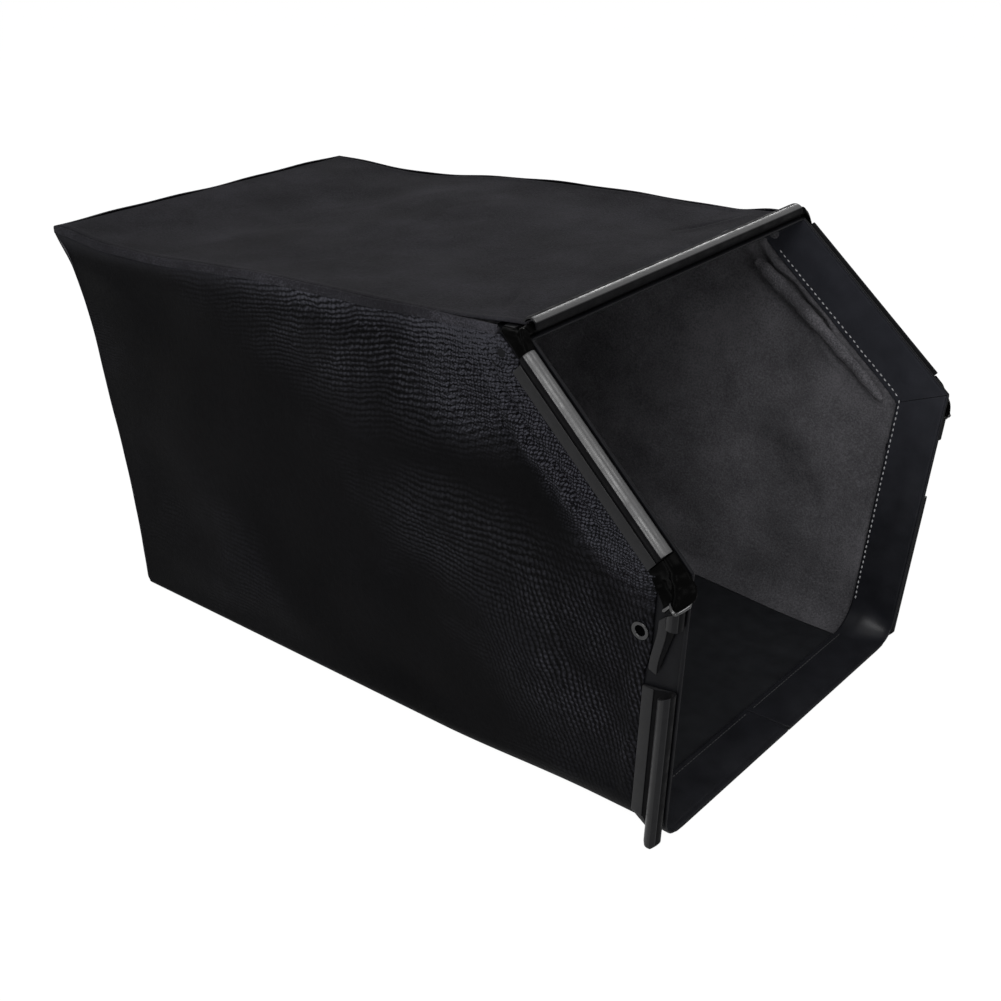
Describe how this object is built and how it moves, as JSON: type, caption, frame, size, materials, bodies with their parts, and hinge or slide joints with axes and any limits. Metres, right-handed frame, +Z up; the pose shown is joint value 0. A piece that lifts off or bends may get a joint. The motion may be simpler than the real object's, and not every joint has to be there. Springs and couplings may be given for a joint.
{
  "type": "mower grass collection bag",
  "caption": "Fabric grass collection bag with a raked open mouth edged in smooth vinyl and stiff clip channels that snap over a mower's wire frame.",
  "frame": {"origin": "on the ground, under the middle of the bag's overall box", "axes": "+X from the rear to the mouth, +Y to the bag's left, +Z up"},
  "size_m": [0.7142, 0.4242, 0.3906],
  "materials": {
    "side_fabric": "knitted mesh cloth",
    "top_fabric": "felted cloth",
    "band_vinyl": "smooth vinyl sheet with a soft sheen",
    "channel_plastic": "extruded, glossy",
    "eyelet_metal": "black lacquer"
  },
  "bodies": {
    "root": {"side_panel_right": "side_fabric", "slope_band_right": "band_vinyl", "lower_band_right": "band_vinyl", "slope_channel_right": "channel_plastic", "side_clip_right": "channel_plastic", "side_channel_right": "channel_plastic", "shoulder_boot_right": "band_vinyl", "corner_boot_right": "band_vinyl", "eyelet_right": "eyelet_metal", "slope_hem_right": "side_fabric", "side_panel_left": "side_fabric", "slope_band_left": "band_vinyl", "lower_band_left": "band_vinyl", "slope_channel_left": "channel_plastic", "side_clip_left": "channel_plastic", "side_channel_left": "channel_plastic", "shoulder_boot_left": "band_vinyl", "corner_boot_left": "band_vinyl", "eyelet_left": "eyelet_metal", "slope_hem_left": "side_fabric", "top_panel": "top_fabric", "rear_panel": "side_fabric", "bottom_panel": "band_vinyl", "top_welt": "side_fabric", "top_band": "band_vinyl", "top_channel": "channel_plastic"}
  },
  "joints": []
}
